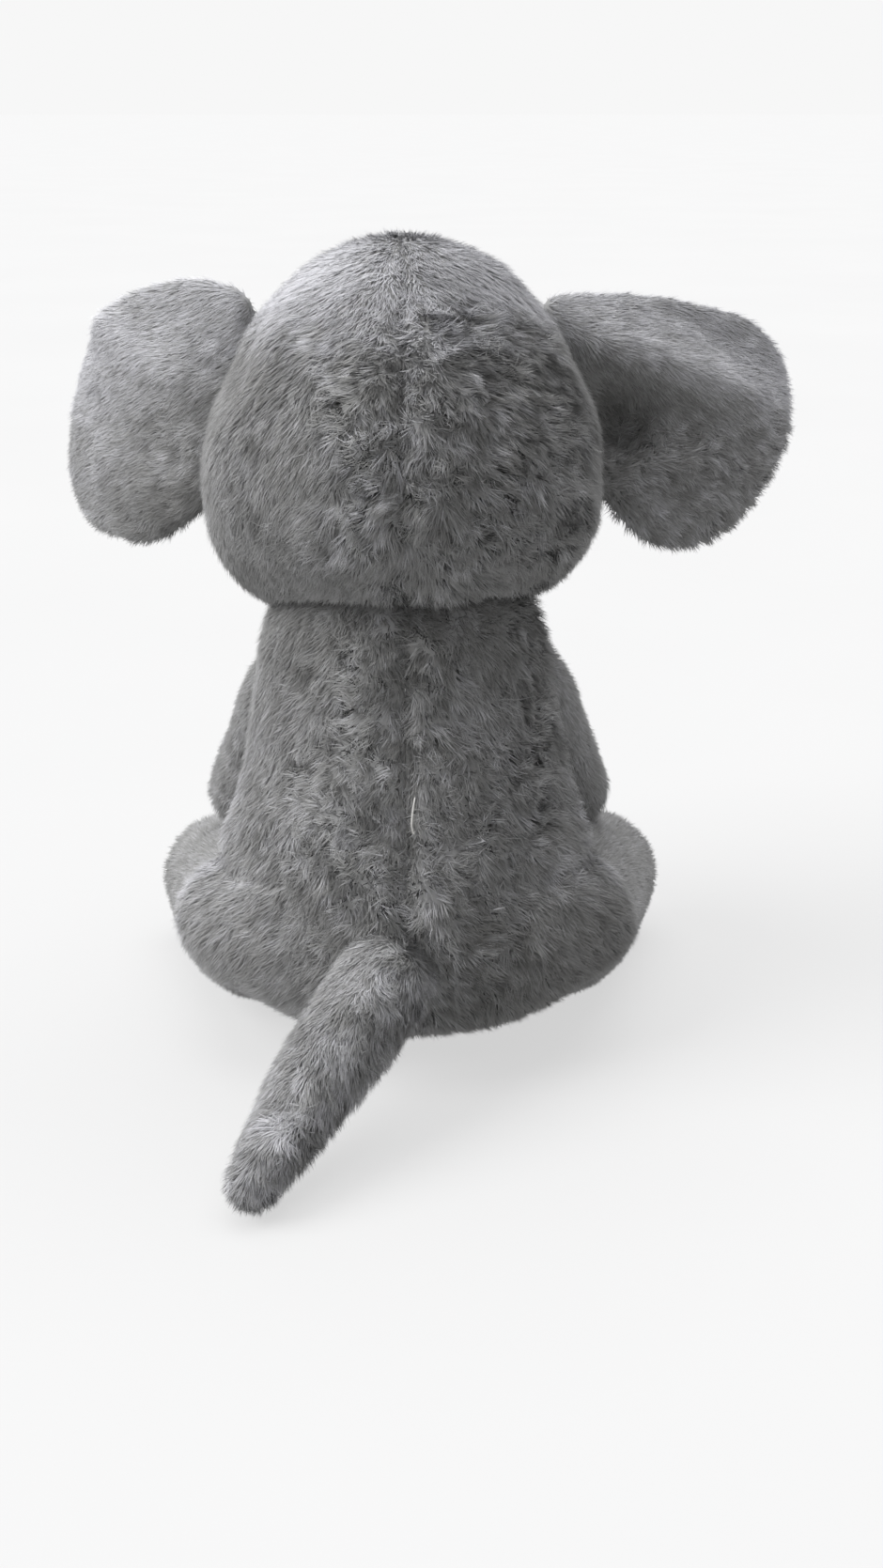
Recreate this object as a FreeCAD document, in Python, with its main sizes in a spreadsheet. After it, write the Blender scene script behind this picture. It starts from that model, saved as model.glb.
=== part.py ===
"""Seated plush elephant: cloth skins, stuffing, eyes, and the ball roots its soft parts turn on.

Millimetres. The origin is on the floor under the torso. +Z is up, the face looks towards -Y,
and +X is the elephant's own left.
"""
import FreeCAD
import Part
import math
import os
import Sketcher

Vector = FreeCAD.Vector
Placement = FreeCAD.Placement
Rotation = FreeCAD.Rotation

# Fixed points, as (x, y, z).
HEAD_CENTRE = Vector(0, -4, 208)
NECK_CENTRE = Vector(0, -5, 141)       # centre of the torso's domed top, which the head turns about
SHOULDER = Vector(47, -14, 124)
PAW = Vector(56, -50, 80)
HIP = Vector(52, -12, 37)
FOOT = Vector(74, -74, 26)
TAIL_ROOT = Vector(6, 66, 46)
TAIL_END = Vector(44, 124, 15)
TRUNK_ROOT = Vector(0, -65, 188)
TRUNK_BEND = Vector(0, -108, 145)
TRUNK_TIP = Vector(0, -123, 106)
EAR_HINGE = Vector(63.3, -27.7, 219)
THREAD_FOOT = Vector(-1.5, 58.5, 98)

HEAD_TILT = 18            # degrees the head leans forward
EAR_LEAN = 12             # degrees the ear's seam leans in at the top
EAR_ROOT_DROP = 10        # how far the middle of the ear lies below the hinge point
EAR_OVERLAP = 7           # how far the ear's outline runs in past its seam
EAR_YAW = {"left": 26, "right": 14}   # degrees each ear is swept towards the face
TRUNK_LOWERED = 8         # degrees the trunk can drop below its rest pose
LEG_TUCK = 4              # degrees a hind leg can swing inwards
BAY_GAP = 1.0             # room between a leg and the walls of its bay in the torso
FORELEG_NEST = 0.4        # how far a foreleg's root sinks into the side of its bay
FORELEG_BAY_TOP = 9.0     # how far above the shoulder a foreleg's bay reaches
BELLY_HALF_WIDTH = 28
BELLY_DROP = 10           # how far below the neck's centre the belly panel stops

# Torso outline: height, half width, half depth and y of the centre of each level.
TORSO_LEVELS = [
    (0, 38, 20, -6),
    (12, 49, 38, 1),
    (45, 58.5, 50.5, 15),
    (85, 57, 51.5, 9),
    (116, 54, 50.5, -1),
    (NECK_CENTRE.z, 52, 52, NECK_CENTRE.y),
]

SIZES = {
    "wall": 4.0,               # plush cloth with its pile pressed down
    "seam_gap": 0.1,           # between two pieces sewn together
    "fill_gap": 0.25,          # between a skin and its stuffing
    "turn_gap": 0.6,           # between pieces that move on each other
    "dome_radius": 52.0,
    "pad_thickness": 5.0,      # pad of stuffing between the torso's dome and the head
    "head_radius": 68.0,
    "head_rise": 76.0,
    "head_drop": 54.0,
    "foreleg_root_radius": 15.0,
    "foreleg_end_radius": 18.0,
    "foreleg_length": SHOULDER.distanceToPoint(PAW),
    "foreleg_flat": 13.0,      # how far past the end's centre the sole lies
    "hind_leg_root_radius": 33.0,
    "hind_leg_end_radius": 26.0,
    "hind_leg_length": HIP.distanceToPoint(FOOT),
    "hind_leg_flat": 14.0,
    "tail_root_radius": 19.0,
    "tail_end_radius": 14.5,
    "tail_length": TAIL_ROOT.distanceToPoint(TAIL_END),
    "tail_trim": 8.0,          # how far behind the root's centre the skin is cut open
    "tail_dimple": 27.2,       # hollow in the back that lets the tail lift
    "tail_knot": 11.4,         # knot of stuffing inside the tail's root
    "trunk_upper_root_radius": 24.0,
    "trunk_upper_end_radius": 19.5,
    "trunk_upper_length": TRUNK_ROOT.distanceToPoint(TRUNK_BEND),
    "trunk_upper_trim": 10.0,
    "trunk_rim": 9.0,          # how far short of the bend the upper trunk's skin stops
    "trunk_lower_root_radius": 18.5,
    "trunk_lower_end_radius": 14.5,
    "trunk_lower_length": TRUNK_BEND.distanceToPoint(TRUNK_TIP),
    "trunk_lower_trim": 8.0,
    "ear_half_width": 41.0,
    "ear_half_height": 45.0,
    "ear_bend": 110.0,         # radius the ear curves forward on
    "ear_panel": 4.4,
    "ear_root_radius": 4.4,    # rolled edge where the ear is sewn to the head
    "ear_root_length": 44.0,
    "ear_groove_gap": 3.8,     # room round the rolled edge, wide enough for the ear to flap
    "ear_groove_margin": 7.0,  # how far the groove runs past each end of the rolled edge
    "eye_radius": 6.0,
    "eye_post_radius": 2.0,
    "eye_post_length": 11.0,
    "washer_radius": 7.0,
    "washer_thickness": 1.5,
    "thread_radius": 0.6,
    "thread_length": 16.0,
}

# Each layer of a soft piece: how far inside the outer surface it lies, as a number and a formula.
LAYERS = {
    "skin": (0.0, "0"),
    "inside": (SIZES["wall"], "dim.wall"),
    "stuffing": (SIZES["wall"] + SIZES["fill_gap"], "(dim.wall + dim.fill_gap)"),
}
REACH = 100.0              # longer than anything that is being trimmed

doc = FreeCAD.newDocument("plush_elephant")
sheet = doc.addObject("Spreadsheet::Sheet", "dim")
for row, (alias, number) in enumerate(SIZES.items(), start=1):
    sheet.set("A%d" % row, alias)
    sheet.set("B%d" % row, "%.4f" % number)
    sheet.setAlias("B%d" % row, alias)
doc.recompute()


# ---------------------------------------------------------------- helpers

def add(kind, name, where=None, **sizes):
    """Add one document object; text sizes are formulas on the sheet, others are set as given."""
    item = doc.addObject(kind, name)
    for prop, size in sizes.items():
        if isinstance(size, str):
            item.setExpression(prop, size)
        else:
            setattr(item, prop, size)
    if where is not None:
        item.Placement = where
    return item


def at(point, turn=None):
    return Placement(point, turn or Rotation())


def ball(name, point, radius):
    return add("Part::Sphere", name, at(point), Radius=radius)


def box(name, low, high, where=None):
    """A plain trimming block between two corners, optionally in a moved frame."""
    block = doc.addObject("Part::Box", name)
    block.Length = high.x - low.x
    block.Width = high.y - low.y
    block.Height = high.z - low.z
    block.Placement = (where or Placement()).multiply(at(low))
    return block


def cut(name, base, tool):
    return add("Part::Cut", name, Base=base, Tool=tool)


def common(name, base, tool):
    return add("Part::Common", name, Base=base, Tool=tool)


def fuse(name, shapes):
    return add("Part::MultiFuse", name, Shapes=shapes)


def mirror(name, source):
    """The same piece on the elephant's right side."""
    return add("Part::Mirroring", name, Source=source, Normal=Vector(1, 0, 0), Base=Vector(0, 0, 0))


def symmetric(name, whole):
    """A shape remade from its right half and that half's mirror image, joined down the middle."""
    right_room = box(name + "_right_room", Vector(-REACH, -REACH, -REACH), Vector(0, REACH, 4 * REACH))
    right_half = common(name + "_right_half", whole, right_room)
    return fuse(name + "_both_halves", [right_half, mirror(name + "_left_half", right_half)])


def along(start, end):
    """A frame at start whose Z axis points at end."""
    return at(start, Rotation(Vector(0, 0, 1), end - start))


def origin_plane(body, role):
    for feature in body.Origin.OriginFeatures:
        if feature.Role == role:
            return feature
    raise ValueError("no plane " + role)


# ---------------------------------------------------------------- limbs

def limb_form(limb, layer, where):
    """Revolved limb: a ball at the origin tapering to a smaller round end along Z.

    Limbs with a trim size are cut open behind the ball, and limbs with a flat size end in a flat.
    """
    inset, inset_formula = LAYERS[layer]
    root_radius = SIZES[limb + "_root_radius"] - inset
    end_radius = SIZES[limb + "_end_radius"] - inset
    length = SIZES[limb + "_length"]
    slope = math.asin((root_radius - end_radius) / length)
    root_angle = -math.pi / 2
    if limb + "_trim" in SIZES:
        trim = SIZES[limb + "_trim"]
        root_angle = -math.asin(trim / root_radius)
    top_angle = math.pi / 2
    if limb + "_flat" in SIZES:
        flat = SIZES[limb + "_flat"] - inset
        top_angle = math.asin(flat / end_radius)

    def on_root(angle):
        return Vector(root_radius * math.cos(angle), root_radius * math.sin(angle), 0)

    def on_end(angle):
        return Vector(end_radius * math.cos(angle), length + end_radius * math.sin(angle), 0)

    top = Vector(0, on_end(top_angle).y, 0)
    foot = Vector(0, on_root(root_angle).y, 0)
    axis = Vector(0, 0, 1)
    body = doc.addObject("PartDesign::Body", "%s_%s_form" % (limb, layer))
    sketch = body.newObject("Sketcher::SketchObject", "%s_%s_profile" % (limb, layer))
    sketch.AttachmentSupport = [(origin_plane(body, "XZ_Plane"), "")]
    sketch.MapMode = "FlatFace"
    root_arc, side, end_arc, centre_line = sketch.addGeometry([
        Part.ArcOfCircle(Part.Circle(Vector(), axis, root_radius), root_angle, slope),
        Part.LineSegment(on_root(slope), on_end(slope)),
        Part.ArcOfCircle(Part.Circle(Vector(0, length, 0), axis, end_radius), slope, top_angle),
        Part.LineSegment(top, foot),
    ], False)
    sketch.addConstraint([
        Sketcher.Constraint("Coincident", root_arc, 3, -1, 1),
        Sketcher.Constraint("PointOnObject", end_arc, 3, -2),
        Sketcher.Constraint("Tangent", root_arc, 2, side, 1),
        Sketcher.Constraint("Tangent", side, 2, end_arc, 1),
        Sketcher.Constraint("Vertical", centre_line),
        Sketcher.Constraint("PointOnObject", centre_line, 2, -2),
    ])

    def close(arc, arc_end, line_end, line):
        """Join an arc to the centre line, by a level line when the limb is cut flat there."""
        if line is None:
            sketch.addConstraint(Sketcher.Constraint("Coincident", arc, arc_end, centre_line, line_end))
            return None
        level = sketch.addGeometry(line, False)
        sketch.addConstraint([
            Sketcher.Constraint("Coincident", arc, arc_end, level, 1),
            Sketcher.Constraint("Coincident", level, 2, centre_line, line_end),
            Sketcher.Constraint("Horizontal", level),
        ])
        return level

    def drive(label, rule, formula):
        number = sketch.addConstraint(rule)
        sketch.renameConstraint(number, label)
        sketch.setExpression("Constraints." + label, formula)

    has_trim = root_angle > -math.pi / 2
    has_flat = top_angle < math.pi / 2
    mouth = close(root_arc, 1, 2, Part.LineSegment(on_root(root_angle), foot) if has_trim else None)
    sole = close(end_arc, 2, 1, Part.LineSegment(on_end(top_angle), top) if has_flat else None)
    drive("root_radius", Sketcher.Constraint("Radius", root_arc, root_radius),
          "dim.%s_root_radius - %s" % (limb, inset_formula))
    drive("end_radius", Sketcher.Constraint("Radius", end_arc, end_radius),
          "dim.%s_end_radius - %s" % (limb, inset_formula))
    drive("length", Sketcher.Constraint("DistanceY", root_arc, 3, end_arc, 3, length),
          "dim.%s_length" % limb)
    if has_trim:
        drive("trim", Sketcher.Constraint("DistanceY", mouth, 2, root_arc, 3, trim),
              "dim.%s_trim" % limb)
    if has_flat:
        drive("flat", Sketcher.Constraint("DistanceY", end_arc, 3, sole, 2, flat),
              "dim.%s_flat - %s" % (limb, inset_formula))
    doc.recompute()
    revolution = body.newObject("PartDesign::Revolution", "%s_%s_turned" % (limb, layer))
    revolution.Profile = sketch
    revolution.ReferenceAxis = (sketch, ["V_Axis"])
    revolution.Angle = 360
    body.Tip = revolution
    body.Placement = where
    return body


def limb_layers(limb, start, end):
    """Outer form, inner hollow and stuffing of one limb, placed along it."""
    where = along(start, end)
    return [limb_form(limb, layer, where) for layer in ("skin", "inside", "stuffing")]


def leg(limb, start, end):
    """A leg's skin, its sole disc and its stuffing, open towards the torso at the root."""
    outer, hollow, stuffing = limb_layers(limb, start, end)
    where = along(start, end)
    inward = Rotation(Vector(0, 0, 1), Vector(-1, 0, 0))
    mouth = add("Part::Cylinder", limb + "_mouth", at(start, inward),
                Radius="dim.%s_root_radius * 0.6" % limb, Height=REACH)
    tube = cut(limb + "_tube", outer, fuse(limb + "_room", [hollow, mouth]))
    sole_level = SIZES[limb + "_length"] + SIZES[limb + "_flat"] - SIZES["wall"]
    blocks = []
    for label, level in (("sole_block", sole_level), ("open_block", sole_level - SIZES["seam_gap"])):
        blocks.append(add("Part::Cylinder", "%s_%s" % (limb, label),
                          where.multiply(at(Vector(0, 0, level))), Radius=REACH, Height="dim.wall * 2"))
    return {
        limb + "_left": cut(limb + "_left", tube, blocks[1]),
        limb + "_left_sole": common(limb + "_left_sole", outer, blocks[0]),
        limb + "_left_stuffing": stuffing,
    }


nodes = {}
for limb, start, end in (("foreleg", SHOULDER, PAW), ("hind_leg", HIP, FOOT)):
    left_pieces = leg(limb, start, end)
    nodes.update(left_pieces)
    for name, piece in left_pieces.items():
        right_name = name.replace("left", "right")
        nodes[right_name] = mirror(right_name, piece)

# Tail: the ball at its root is a separate knot of stuffing, so that the tail turns two ways.
tail_outer, tail_hollow, tail_core = limb_layers("tail", TAIL_ROOT, TAIL_END)
nodes["tail"] = cut("tail", tail_outer, tail_hollow)
nodes["tail_root_stuffing"] = ball("tail_root_stuffing", TAIL_ROOT, "dim.tail_knot")
tail_pocket = ball("tail_pocket", TAIL_ROOT, "dim.tail_knot + dim.turn_gap")
nodes["tail_stuffing"] = cut("tail_stuffing", tail_core, tail_pocket)

# Trunk: the upper piece ends in a cup that the lower piece's ball root turns in.
upper_outer, upper_hollow, upper_core = limb_layers("trunk_upper", TRUNK_ROOT, TRUNK_BEND)
lower_outer, lower_hollow, lower_core = limb_layers("trunk_lower", TRUNK_BEND, TRUNK_TIP)
bend_cup = ball("bend_cup", TRUNK_BEND, "dim.trunk_lower_root_radius + dim.turn_gap")
rim_height = SIZES["trunk_upper_length"] - SIZES["trunk_rim"]
rim_block = add("Part::Cylinder", "rim_block", Radius=REACH, Height=REACH)
rim_block.Placement = along(TRUNK_ROOT, TRUNK_BEND).multiply(at(Vector(0, 0, rim_height)))
bend_space = fuse("bend_space", [bend_cup, rim_block])
nodes["trunk_upper"] = cut("trunk_upper", cut("trunk_upper_tube", upper_outer, upper_hollow), bend_space)
nodes["trunk_upper_stuffing"] = cut("trunk_upper_stuffing", upper_core, bend_space)
nodes["trunk_lower"] = cut("trunk_lower", lower_outer, lower_hollow)
nodes["trunk_lower_stuffing"] = lower_core


# ---------------------------------------------------------------- torso

def torso_bays(layer):
    """Hollows in the torso's front corners that leave room for the legs to move."""
    inset = LAYERS[layer][0]
    foreleg_axis = PAW - SHOULDER
    # Frame at the shoulder: Z runs down the foreleg, Y points up and forwards.
    pitch = math.degrees(math.atan2(-foreleg_axis.y, foreleg_axis.z))
    foreleg_frame = at(SHOULDER, Rotation(Vector(1, 0, 0), pitch))
    inner = SIZES["foreleg_root_radius"] - FORELEG_NEST + inset
    behind = SIZES["foreleg_end_radius"] + BAY_GAP + inset
    foreleg_bay = box("foreleg_bay_" + layer, Vector(-inner, -behind, -FORELEG_BAY_TOP - inset),
                      Vector(REACH, REACH, REACH), foreleg_frame)
    leg_axis = FOOT - HIP
    yaw = math.degrees(math.atan2(leg_axis.x, -leg_axis.y)) - LEG_TUCK
    inner = SIZES["hind_leg_root_radius"] + BAY_GAP + inset
    leg_bay = box("hind_leg_bay_" + layer, Vector(-inner, -REACH, -REACH),
                  Vector(REACH, inset, inner), at(HIP, Rotation(Vector(0, 0, 1), yaw)))
    bays = [foreleg_bay, leg_bay]
    return bays + [mirror(bay.Name + "_right", bay) for bay in bays]


def torso_form(layer):
    """Pear-shaped torso with a domed top, at one layer's depth."""
    inset, inset_formula = LAYERS[layer]
    top = NECK_CENTRE.z
    rings = []
    for number, (height, half_width, half_depth, centre_y) in enumerate(TORSO_LEVELS):
        ring = add("Part::Ellipse", "torso_ring_%s_%d" % (layer, number))
        ring.MajorRadius = half_width - inset
        ring.MinorRadius = half_depth - inset
        ring.Placement = at(Vector(0, centre_y, inset + height * (top - inset) / top))
        rings.append(ring)
    trunk = add("Part::Loft", "torso_loft_" + layer, Sections=rings, Solid=True)
    # A half ball whose poles lie left and right, clear of the seam down the middle.
    dome = add("Part::Sphere", "torso_dome_" + layer, at(NECK_CENTRE, Rotation(Vector(1, 1, 1), 120)),
               Angle3=180.0, Radius="dim.dome_radius - " + inset_formula)
    whole = symmetric("torso_" + layer, fuse("torso_whole_" + layer, [trunk, dome]))
    return cut("torso_form_" + layer, whole, fuse("torso_bays_" + layer, torso_bays(layer)))


shoulder_socket = ball("shoulder_socket", SHOULDER, "dim.foreleg_root_radius + dim.turn_gap")
hip_socket = ball("hip_socket", HIP, "dim.hind_leg_root_radius + dim.turn_gap")
torso_sockets = fuse("torso_sockets", [
    shoulder_socket,
    mirror("shoulder_socket_right", shoulder_socket),
    hip_socket,
    mirror("hip_socket_right", hip_socket),
    ball("tail_socket", TAIL_ROOT, "dim.tail_root_radius + dim.turn_gap"),
    ball("tail_dimple", TAIL_ROOT + Vector(0, 12, 0), "dim.tail_dimple"),
])
torso_outer = torso_form("skin")
torso_skin = cut("torso_skin", cut("torso_wall", torso_outer, torso_form("inside")), torso_sockets)
nodes["torso_stuffing"] = cut("torso_stuffing", torso_form("stuffing"), torso_sockets)

wall = SIZES["wall"]
seam = SIZES["seam_gap"]
belly_top = NECK_CENTRE.z - BELLY_DROP
seat_block = box("seat_block", Vector(-REACH, -REACH, -1), Vector(REACH, REACH, wall))
nodes["seat_panel"] = common("seat_panel", torso_skin, seat_block)
belly_block = box("belly_block", Vector(-BELLY_HALF_WIDTH, -REACH, wall + seam),
                  Vector(BELLY_HALF_WIDTH, 0, belly_top))
nodes["belly_panel"] = common("belly_panel", torso_skin, belly_block)
belly_room = box("belly_room", Vector(-BELLY_HALF_WIDTH - seam, -REACH, -1),
                 Vector(BELLY_HALF_WIDTH + seam, seam, belly_top + seam))
torso_sides = cut("torso_sides", torso_skin, belly_room)
for side, low_x, high_x in (("left", seam / 2, REACH), ("right", -REACH, -seam / 2)):
    half = box("torso_half_" + side, Vector(low_x, -REACH, wall + seam), Vector(high_x, REACH, 2 * REACH))
    name = "torso_panel_" + side
    nodes[name] = common(name, torso_sides, half)

nodes["closing_thread"] = add(
    "Part::Cylinder", "closing_thread", along(THREAD_FOOT, THREAD_FOOT + Vector(0, -5.4, 16)),
    Radius="dim.thread_radius", Height="dim.thread_length")

# Neck: a curved pad on the torso's dome, inside a wider pocket in the head.
PAD_EDGE = 63              # degrees above level where the pad stops
POCKET_EDGE = 44           # degrees above level where the head's pocket stops
pad_outer = add("Part::Sphere", "pad_outer", at(NECK_CENTRE), Angle1=PAD_EDGE,
                Radius="dim.dome_radius + dim.turn_gap + dim.pad_thickness")
pad_inner = ball("pad_inner", NECK_CENTRE, "dim.dome_radius + dim.turn_gap")
nodes["neck_stuffing"] = cut("neck_stuffing", pad_outer, pad_inner)
neck_pocket = add("Part::Sphere", "neck_pocket", at(NECK_CENTRE), Angle1=POCKET_EDGE,
                  Radius="dim.dome_radius + dim.turn_gap * 2 + dim.pad_thickness")


# ---------------------------------------------------------------- head

head_frame = at(HEAD_CENTRE, Rotation(Vector(1, 0, 0), HEAD_TILT))


def head_form(layer):
    """Round head, taller above its widest level than below it, at one layer's depth."""
    inset_formula = LAYERS[layer][1]
    across = "dim.head_radius - " + inset_formula
    # Turned about its own axis so that the surface's join misses the ears and the eyes.
    turned = head_frame.multiply(at(Vector(), Rotation(Vector(0, 0, 1), 50)))
    halves = []
    for part, rise, low, high in (("top", "head_rise", 0, 90), ("base", "head_drop", -90, 0)):
        halves.append(add(
            "Part::Ellipsoid", "head_%s_%s" % (part, layer), turned, Angle1=low, Angle2=high,
            Radius1="dim.%s - %s" % (rise, inset_formula), Radius2=across, Radius3=across))
    return fuse("head_form_" + layer, halves)


def ear_frame(side):
    """Frame at the ear's seam: Z up the seam, X out along the ear, Y towards its back."""
    sign = 1 if side == "left" else -1
    hinge = Vector(sign * EAR_HINGE.x, EAR_HINGE.y, EAR_HINGE.z)
    lean = Rotation(Vector(0, 1, 0), -sign * EAR_LEAN)
    yaw = Rotation(Vector(0, 0, 1), -sign * EAR_YAW[side])
    return at(hinge, lean.multiply(yaw))


def ear_groove(side):
    """Groove in the head that the ear's rolled edge turns in."""
    sink = Vector(0, 0, -(SIZES["ear_root_length"] / 2 + EAR_ROOT_DROP + SIZES["ear_groove_margin"]))
    return add("Part::Cylinder", "ear_groove_" + side, ear_frame(side).multiply(at(sink)),
               Radius="dim.ear_root_radius + dim.ear_groove_gap",
               Height="dim.ear_root_length + dim.ear_groove_margin * 2")


trunk_sweep = []
for number, drop in enumerate((0, TRUNK_LOWERED)):
    turn = Rotation(Vector(1, 0, 0), drop).multiply(along(TRUNK_ROOT, TRUNK_BEND).Rotation)
    trunk_sweep.append(add("Part::Cylinder", "trunk_sweep_%d" % number, at(TRUNK_ROOT, turn),
                           Radius="dim.trunk_upper_root_radius + dim.turn_gap * 2", Height=REACH))
head_spaces = fuse("head_spaces", [
    ball("neck_cup", NECK_CENTRE, "dim.dome_radius + dim.turn_gap"),
    neck_pocket,
    ball("trunk_socket", TRUNK_ROOT, "dim.trunk_upper_root_radius + dim.turn_gap"),
    ear_groove("left"),
    ear_groove("right"),
] + trunk_sweep)

# Eyes: glossy domes on posts through the cloth, each held by a washer inside.
EYE_AZIMUTH = 40           # degrees round from the middle of the face
EYE_HEIGHT = 10            # degrees above the head's widest level
facing = Vector(math.sin(math.radians(EYE_AZIMUTH)) * math.cos(math.radians(EYE_HEIGHT)),
                -math.cos(math.radians(EYE_AZIMUTH)) * math.cos(math.radians(EYE_HEIGHT)),
                math.sin(math.radians(EYE_HEIGHT)))
eye_depth = 1 / math.sqrt((facing.x ** 2 + facing.y ** 2) / SIZES["head_radius"] ** 2
                          + facing.z ** 2 / SIZES["head_rise"] ** 2)
outward = Vector(facing.x / SIZES["head_radius"] ** 2, facing.y / SIZES["head_radius"] ** 2,
                 facing.z / SIZES["head_rise"] ** 2)
eye_seat = head_frame.multiply(at(facing * eye_depth, Rotation(Vector(0, 0, 1), outward)))


def eye_disc(name, low, height, radius):
    """A short round shape centred on the eye's axis, starting low under the cloth's surface."""
    return add("Part::Cylinder", name, eye_seat.multiply(at(Vector(0, 0, low))),
               Radius=radius, Height=height)


post_start = seam - SIZES["eye_post_length"]
eye_dome = add("Part::Sphere", "eye_dome", eye_seat.multiply(at(Vector(0, 0, seam))), Angle1=0.0,
               Radius="dim.eye_radius")
eye_post = eye_disc("eye_post", post_start, "dim.eye_post_length + 1", "dim.eye_post_radius")
nodes["eye_left"] = fuse("eye_left", [eye_dome, eye_post])
washer_top = -wall - 0.5
washer_disc = eye_disc("washer_disc", washer_top - SIZES["washer_thickness"],
                       "dim.washer_thickness", "dim.washer_radius")
post_hole = eye_disc("post_hole", post_start - 1, "dim.eye_post_length + 4",
                     "dim.eye_post_radius + dim.seam_gap")
nodes["eye_washer_left"] = cut("eye_washer_left", washer_disc, post_hole)
nodes["eye_right"] = mirror("eye_right", nodes["eye_left"])
nodes["eye_washer_right"] = mirror("eye_washer_right", nodes["eye_washer_left"])
washer_room = eye_disc("washer_room", washer_top - SIZES["washer_thickness"] - 0.5,
                       "dim.washer_thickness + 2", "dim.washer_radius + dim.fill_gap")

head_wall = cut("head_wall", head_form("skin"), head_form("inside"))
post_holes = fuse("post_holes", [post_hole, mirror("post_hole_right", post_hole)])
head_skin = cut("head_skin", cut("head_open", head_wall, head_spaces), post_holes)
eye_rooms = fuse("eye_rooms", [post_holes, washer_room, mirror("washer_room_right", washer_room)])
head_core = cut("head_core", head_form("stuffing"), head_spaces)
nodes["head_stuffing"] = cut("head_stuffing", head_core, eye_rooms)
left_room = box("head_left_room", Vector(seam / 2, -REACH, REACH), Vector(REACH, REACH, 4 * REACH))
nodes["head_panel_left"] = common("head_panel_left", head_skin, left_room)
nodes["head_panel_right"] = mirror("head_panel_right", nodes["head_panel_left"])


# ---------------------------------------------------------------- ears

def ear(side):
    """A curved ear in two panels, the plush back carrying the rolled edge that meets the head."""
    sign = 1 if side == "left" else -1
    frame = ear_frame(side)
    outline = add("Part::Ellipse", "ear_outline_" + side,
                  MajorRadius="dim.ear_half_height", MinorRadius="dim.ear_half_width")
    # The ellipse stands in the ear's own plane, its long axis up the seam.
    upright = Rotation(Vector(0, 1, 0), -90).multiply(Rotation(Vector(1, 0, 0), 90))
    centre = Vector(sign * (SIZES["ear_half_width"] - EAR_OVERLAP), 0, -EAR_ROOT_DROP)
    outline.Placement = frame.multiply(at(centre, upright))
    slab = add("Part::Extrusion", "ear_slab_" + side, Base=outline, Solid=True, Symmetric=True,
               Dir=frame.Rotation.multVec(Vector(0, 1, 0)), LengthFwd=REACH)
    slab.DirMode = "Custom"
    slab.FaceMakerClass = "Part::FaceMakerBullseye"
    outer_side = box("ear_outer_side_" + side, Vector(0, -REACH, -REACH), Vector(REACH, REACH, REACH),
                     frame.multiply(at(Vector(), Rotation(Vector(0, 0, 1), 0 if sign > 0 else 180))))
    blade = common("ear_blade_" + side, slab, outer_side)
    bend_frame = frame.multiply(at(Vector(0, -SIZES["ear_bend"], -REACH)))

    def bend(label, radius):
        return add("Part::Cylinder", "ear_bend_%s_%s" % (label, side), bend_frame,
                   Radius=radius, Height=2 * REACH)

    back_shell = cut("ear_back_shell_" + side, bend("back", "dim.ear_bend + dim.ear_panel"),
                     bend("back_face", "dim.ear_bend + dim.seam_gap / 2"))
    front_shell = cut("ear_front_shell_" + side, bend("front_face", "dim.ear_bend - dim.seam_gap / 2"),
                      bend("front", "dim.ear_bend - dim.ear_panel"))
    sink = Vector(0, 0, -(SIZES["ear_root_length"] / 2 + EAR_ROOT_DROP))
    roll = add("Part::Cylinder", "ear_roll_" + side, frame.multiply(at(sink)),
               Radius="dim.ear_root_radius", Height="dim.ear_root_length")
    roll_room = add("Part::Cylinder", "ear_roll_room_" + side, bend_frame.multiply(
        at(Vector(0, SIZES["ear_bend"], 0))), Radius="dim.ear_root_radius + dim.seam_gap", Height=2 * REACH)
    back = fuse("ear_%s_back" % side, [common("ear_back_blade_" + side, blade, back_shell), roll])
    lining = cut("ear_%s_lining" % side, common("ear_front_blade_" + side, blade, front_shell), roll_room)
    return {"ear_%s_back" % side: back, "ear_%s_lining" % side: lining}


for side in ("left", "right"):
    nodes.update(ear(side))


# ---------------------------------------------------------------- check and write out

doc.recompute()
faults = []
for item in doc.Objects:
    if "Invalid" in item.State or "Error" in item.State:
        faults.append("%s: %s" % (item.Name, item.State))
    shape = getattr(item, "Shape", None)
    if shape is not None and item.TypeId.startswith(("Part", "PartDesign::Body")):
        if shape.isNull() or not shape.isValid():
            faults.append("%s: bad shape" % item.Name)
for name, node in nodes.items():
    node.Label = name
    if len(node.Shape.Solids) != 1:
        faults.append("%s: %d solids" % (name, len(node.Shape.Solids)))
if faults:
    raise RuntimeError("; ".join(faults))

os.makedirs("parts", exist_ok=True)
for name, node in sorted(nodes.items()):
    node.Shape.exportStep(os.path.join("parts", name + ".step"))
    extent = node.Shape.BoundBox
    print("%-24s %9.0f mm3  x %.1f..%.1f  y %.1f..%.1f  z %.1f..%.1f" % (
        name, node.Shape.Volume, extent.XMin, extent.XMax, extent.YMin, extent.YMax,
        extent.ZMin, extent.ZMax))
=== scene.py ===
"""Looks of the seated plush elephant: stuffed skins with a long soft pile, eyes, light and camera.

Metres, in the CAD frame: origin on the floor under the torso, +Z up, face towards -Y, and +X the
elephant's own left. Every soft CAD solid is replaced by a skin that carries its own pile.
"""
import math

import bmesh
import bpy
import numpy as np
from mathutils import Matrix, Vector, kdtree


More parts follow.
